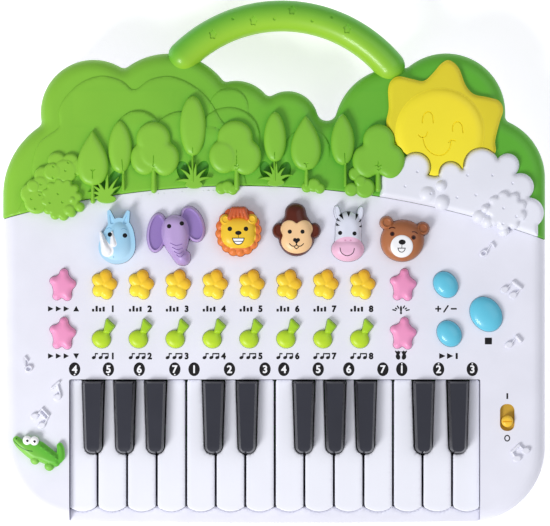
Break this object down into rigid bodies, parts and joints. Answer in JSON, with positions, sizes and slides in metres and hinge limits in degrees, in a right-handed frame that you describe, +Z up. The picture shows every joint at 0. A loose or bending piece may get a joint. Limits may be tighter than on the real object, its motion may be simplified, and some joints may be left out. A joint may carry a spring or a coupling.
{
  "type": "toy electronic keyboard",
  "caption": "Toy electronic keyboard with piano keys, animal and shape buttons, a power slider, and a hilly green cover with a carrying handle.",
  "frame": {"origin": "under the middle of the case's bounding box, on the table", "axes": "+X to the player's right along the keys, +Y away from the player towards the carrying handle, +Z up out of the deck"},
  "size_m": [0.272, 0.2624, 0.0435],
  "materials": {
    "white_shell": "satin white",
    "lower_shell": "satin white",
    "leaf_green": "gloss green",
    "sun_yellow": "gloss yellow",
    "cloud_white": "gloss white",
    "crocodile_green": "gloss green",
    "key_white": "gloss white",
    "key_black": "satin black",
    "pink": "gloss pink",
    "turquoise": "gloss turquoise",
    "flower_yellow": "gloss yellow",
    "note_green": "gloss green",
    "rhino_blue": "gloss light blue",
    "elephant_purple": "gloss purple",
    "lion_orange": "gloss orange",
    "monkey_brown": "gloss dark brown",
    "zebra_white": "gloss white",
    "bear_brown": "gloss brown",
    "slider_yellow": "gloss yellow",
    "screw_steel": "zinc",
    "board_green": "solder mask",
    "rubber_grey": "matte silicone",
    "contact_nickel": "nickel",
    "cell_sleeve": "printed sleeve",
    "speaker_black": "matte black",
    "switch_metal": "tinned steel",
    "rod_steel": "ground steel",
    "wire_red": "insulation"
  },
  "bodies": {
    "casing": {"bottom_case": "lower_shell", "top_case": "white_shell", "forest_cover": "leaf_green", "handle_back": "leaf_green", "sun_badge": "sun_yellow", "cloud_badge": "cloud_white", "crocodile_badge": "crocodile_green", "battery_door": "lower_shell", "door_screw": "screw_steel", "case_screws": "screw_steel", "board_screws": "screw_steel", "speaker": "speaker_black", "main_board": "board_green", "button_mat": "rubber_grey", "key_mat": "rubber_grey", "battery_contacts": "contact_nickel", "batteries": "cell_sleeve", "switch_housing": "switch_metal", "key_pivot_rod": "rod_steel", "wires": "wire_red"},
    "white_key_1": {"white_key_1": "key_white"},
    "white_key_2": {"white_key_2": "key_white"},
    "white_key_3": {"white_key_3": "key_white"},
    "white_key_4": {"white_key_4": "key_white"},
    "white_key_5": {"white_key_5": "key_white"},
    "white_key_6": {"white_key_6": "key_white"},
    "white_key_7": {"white_key_7": "key_white"},
    "white_key_8": {"white_key_8": "key_white"},
    "white_key_9": {"white_key_9": "key_white"},
    "white_key_10": {"white_key_10": "key_white"},
    "white_key_11": {"white_key_11": "key_white"},
    "white_key_12": {"white_key_12": "key_white"},
    "white_key_13": {"white_key_13": "key_white"},
    "white_key_14": {"white_key_14": "key_white"},
    "black_key_1": {"black_key_1": "key_black"},
    "black_key_2": {"black_key_2": "key_black"},
    "black_key_3": {"black_key_3": "key_black"},
    "black_key_4": {"black_key_4": "key_black"},
    "black_key_5": {"black_key_5": "key_black"},
    "black_key_6": {"black_key_6": "key_black"},
    "black_key_7": {"black_key_7": "key_black"},
    "black_key_8": {"black_key_8": "key_black"},
    "black_key_9": {"black_key_9": "key_black"},
    "black_key_10": {"black_key_10": "key_black"},
    "rear_left_star_button": {"rear_left_star_button": "pink"},
    "front_left_star_button": {"front_left_star_button": "pink"},
    "rear_right_star_button": {"rear_right_star_button": "pink"},
    "front_right_star_button": {"front_right_star_button": "pink"},
    "volume_button": {"volume_button": "turquoise"},
    "demo_button": {"demo_button": "turquoise"},
    "stop_button": {"stop_button": "turquoise"},
    "rhino_button": {"rhino_button": "rhino_blue"},
    "elephant_button": {"elephant_button": "elephant_purple"},
    "lion_button": {"lion_button": "lion_orange"},
    "monkey_button": {"monkey_button": "monkey_brown"},
    "zebra_button": {"zebra_button": "zebra_white"},
    "bear_button": {"bear_button": "bear_brown"},
    "flower_button_strip": {"flower_button_strip": "flower_yellow"},
    "note_button_strip": {"note_button_strip": "note_green"},
    "power_slider": {"power_slider": "slider_yellow"}
  },
  "joints": [
    {"name": "white_key_1_pivot", "type": "hinge", "parent": "casing", "child": "white_key_1", "pos_m": [-0.09515, -0.052, 0.0275], "axis": [1, 0, 0], "range_deg": [0, 3.2], "stiffness_Nm_per_rad": 0.06, "springref_deg": -5.16},
    {"name": "white_key_2_pivot", "type": "hinge", "parent": "casing", "child": "white_key_2", "pos_m": [-0.08045, -0.052, 0.0275], "axis": [1, 0, 0], "range_deg": [0, 3.2], "stiffness_Nm_per_rad": 0.06, "springref_deg": -5.16},
    {"name": "white_key_3_pivot", "type": "hinge", "parent": "casing", "child": "white_key_3", "pos_m": [-0.06575, -0.052, 0.0275], "axis": [1, 0, 0], "range_deg": [0, 3.2], "stiffness_Nm_per_rad": 0.06, "springref_deg": -5.16},
    {"name": "white_key_4_pivot", "type": "hinge", "parent": "casing", "child": "white_key_4", "pos_m": [-0.05105, -0.052, 0.0275], "axis": [1, 0, 0], "range_deg": [0, 3.2], "stiffness_Nm_per_rad": 0.06, "springref_deg": -5.16},
    {"name": "white_key_5_pivot", "type": "hinge", "parent": "casing", "child": "white_key_5", "pos_m": [-0.03635, -0.052, 0.0275], "axis": [1, 0, 0], "range_deg": [0, 3.2], "stiffness_Nm_per_rad": 0.06, "springref_deg": -5.16},
    {"name": "white_key_6_pivot", "type": "hinge", "parent": "casing", "child": "white_key_6", "pos_m": [-0.02165, -0.052, 0.0275], "axis": [1, 0, 0], "range_deg": [0, 3.2], "stiffness_Nm_per_rad": 0.06, "springref_deg": -5.16},
    {"name": "white_key_7_pivot", "type": "hinge", "parent": "casing", "child": "white_key_7", "pos_m": [-0.00695, -0.052, 0.0275], "axis": [1, 0, 0], "range_deg": [0, 3.2], "stiffness_Nm_per_rad": 0.06, "springref_deg": -5.16},
    {"name": "white_key_8_pivot", "type": "hinge", "parent": "casing", "child": "white_key_8", "pos_m": [0.00775, -0.052, 0.0275], "axis": [1, 0, 0], "range_deg": [0, 3.2], "stiffness_Nm_per_rad": 0.06, "springref_deg": -5.16},
    {"name": "white_key_9_pivot", "type": "hinge", "parent": "casing", "child": "white_key_9", "pos_m": [0.02245, -0.052, 0.0275], "axis": [1, 0, 0], "range_deg": [0, 3.2], "stiffness_Nm_per_rad": 0.06, "springref_deg": -5.16},
    {"name": "white_key_10_pivot", "type": "hinge", "parent": "casing", "child": "white_key_10", "pos_m": [0.03715, -0.052, 0.0275], "axis": [1, 0, 0], "range_deg": [0, 3.2], "stiffness_Nm_per_rad": 0.06, "springref_deg": -5.16},
    {"name": "white_key_11_pivot", "type": "hinge", "parent": "casing", "child": "white_key_11", "pos_m": [0.05185, -0.052, 0.0275], "axis": [1, 0, 0], "range_deg": [0, 3.2], "stiffness_Nm_per_rad": 0.06, "springref_deg": -5.16},
    {"name": "white_key_12_pivot", "type": "hinge", "parent": "casing", "child": "white_key_12", "pos_m": [0.06655, -0.052, 0.0275], "axis": [1, 0, 0], "range_deg": [0, 3.2], "stiffness_Nm_per_rad": 0.06, "springref_deg": -5.16},
    {"name": "white_key_13_pivot", "type": "hinge", "parent": "casing", "child": "white_key_13", "pos_m": [0.08125, -0.052, 0.0275], "axis": [1, 0, 0], "range_deg": [0, 3.2], "stiffness_Nm_per_rad": 0.06, "springref_deg": -5.16},
    {"name": "white_key_14_pivot", "type": "hinge", "parent": "casing", "child": "white_key_14", "pos_m": [0.09595, -0.052, 0.0275], "axis": [1, 0, 0], "range_deg": [0, 3.2], "stiffness_Nm_per_rad": 0.06, "springref_deg": -5.16},
    {"name": "black_key_1_pivot", "type": "hinge", "parent": "casing", "child": "black_key_1", "pos_m": [-0.0883, -0.052, 0.0275], "axis": [1, 0, 0], "range_deg": [0, 3], "stiffness_Nm_per_rad": 0.06, "springref_deg": -5.16},
    {"name": "black_key_2_pivot", "type": "hinge", "parent": "casing", "child": "black_key_2", "pos_m": [-0.0731, -0.052, 0.0275], "axis": [1, 0, 0], "range_deg": [0, 3], "stiffness_Nm_per_rad": 0.06, "springref_deg": -5.16},
    {"name": "black_key_3_pivot", "type": "hinge", "parent": "casing", "child": "black_key_3", "pos_m": [-0.0578, -0.052, 0.0275], "axis": [1, 0, 0], "range_deg": [0, 3], "stiffness_Nm_per_rad": 0.06, "springref_deg": -5.16},
    {"name": "black_key_4_pivot", "type": "hinge", "parent": "casing", "child": "black_key_4", "pos_m": [-0.03005, -0.052, 0.0275], "axis": [1, 0, 0], "range_deg": [0, 3], "stiffness_Nm_per_rad": 0.06, "springref_deg": -5.16},
    {"name": "black_key_5_pivot", "type": "hinge", "parent": "casing", "child": "black_key_5", "pos_m": [-0.0132, -0.052, 0.0275], "axis": [1, 0, 0], "range_deg": [0, 3], "stiffness_Nm_per_rad": 0.06, "springref_deg": -5.16},
    {"name": "black_key_6_pivot", "type": "hinge", "parent": "casing", "child": "black_key_6", "pos_m": [0.0146, -0.052, 0.0275], "axis": [1, 0, 0], "range_deg": [0, 3], "stiffness_Nm_per_rad": 0.06, "springref_deg": -5.16},
    {"name": "black_key_7_pivot", "type": "hinge", "parent": "casing", "child": "black_key_7", "pos_m": [0.0298, -0.052, 0.0275], "axis": [1, 0, 0], "range_deg": [0, 3], "stiffness_Nm_per_rad": 0.06, "springref_deg": -5.16},
    {"name": "black_key_8_pivot", "type": "hinge", "parent": "casing", "child": "black_key_8", "pos_m": [0.0451, -0.052, 0.0275], "axis": [1, 0, 0], "range_deg": [0, 3], "stiffness_Nm_per_rad": 0.06, "springref_deg": -5.16},
    {"name": "black_key_9_pivot", "type": "hinge", "parent": "casing", "child": "black_key_9", "pos_m": [0.07285, -0.052, 0.0275], "axis": [1, 0, 0], "range_deg": [0, 3], "stiffness_Nm_per_rad": 0.06, "springref_deg": -5.16},
    {"name": "black_key_10_pivot", "type": "hinge", "parent": "casing", "child": "black_key_10", "pos_m": [0.0897, -0.052, 0.0275], "axis": [1, 0, 0], "range_deg": [0, 3], "stiffness_Nm_per_rad": 0.06, "springref_deg": -5.16},
    {"name": "rear_left_star_button_press", "type": "slide", "parent": "casing", "child": "rear_left_star_button", "axis": [0, 0, -1], "range_m": [0, 0.0014], "stiffness_N_per_m": 150, "springref_m": -0.003},
    {"name": "front_left_star_button_press", "type": "slide", "parent": "casing", "child": "front_left_star_button", "axis": [0, 0, -1], "range_m": [0, 0.0014], "stiffness_N_per_m": 150, "springref_m": -0.003},
    {"name": "rear_right_star_button_press", "type": "slide", "parent": "casing", "child": "rear_right_star_button", "axis": [0, 0, -1], "range_m": [0, 0.0014], "stiffness_N_per_m": 150, "springref_m": -0.003},
    {"name": "front_right_star_button_press", "type": "slide", "parent": "casing", "child": "front_right_star_button", "axis": [0, 0, -1], "range_m": [0, 0.0014], "stiffness_N_per_m": 150, "springref_m": -0.003},
    {"name": "volume_button_press", "type": "slide", "parent": "casing", "child": "volume_button", "axis": [0, 0, -1], "range_m": [0, 0.0014], "stiffness_N_per_m": 150, "springref_m": -0.003},
    {"name": "demo_button_press", "type": "slide", "parent": "casing", "child": "demo_button", "axis": [0, 0, -1], "range_m": [0, 0.0014], "stiffness_N_per_m": 150, "springref_m": -0.003},
    {"name": "stop_button_press", "type": "slide", "parent": "casing", "child": "stop_button", "axis": [0, 0, -1], "range_m": [0, 0.0014], "stiffness_N_per_m": 150, "springref_m": -0.003},
    {"name": "rhino_button_press", "type": "slide", "parent": "casing", "child": "rhino_button", "axis": [0, 0, -1], "range_m": [0, 0.0014], "stiffness_N_per_m": 150, "springref_m": -0.003},
    {"name": "elephant_button_press", "type": "slide", "parent": "casing", "child": "elephant_button", "axis": [0, 0, -1], "range_m": [0, 0.0014], "stiffness_N_per_m": 150, "springref_m": -0.003},
    {"name": "lion_button_press", "type": "slide", "parent": "casing", "child": "lion_button", "axis": [0, 0, -1], "range_m": [0, 0.0014], "stiffness_N_per_m": 150, "springref_m": -0.003},
    {"name": "monkey_button_press", "type": "slide", "parent": "casing", "child": "monkey_button", "axis": [0, 0, -1], "range_m": [0, 0.0014], "stiffness_N_per_m": 150, "springref_m": -0.003},
    {"name": "zebra_button_press", "type": "slide", "parent": "casing", "child": "zebra_button", "axis": [0, 0, -1], "range_m": [0, 0.0014], "stiffness_N_per_m": 150, "springref_m": -0.003},
    {"name": "bear_button_press", "type": "slide", "parent": "casing", "child": "bear_button", "axis": [0, 0, -1], "range_m": [0, 0.0014], "stiffness_N_per_m": 150, "springref_m": -0.003},
    {"name": "flower_button_strip_press", "type": "slide", "parent": "casing", "child": "flower_button_strip", "axis": [0, 0, -1], "range_m": [0, 0.0014], "stiffness_N_per_m": 150, "springref_m": -0.003},
    {"name": "note_button_strip_press", "type": "slide", "parent": "casing", "child": "note_button_strip", "axis": [0, 0, -1], "range_m": [0, 0.0014], "stiffness_N_per_m": 150, "springref_m": -0.003},
    {"name": "power_slide", "type": "slide", "parent": "casing", "child": "power_slider", "axis": [0, 1, 0], "range_m": [0, 0.004]}
  ]
}
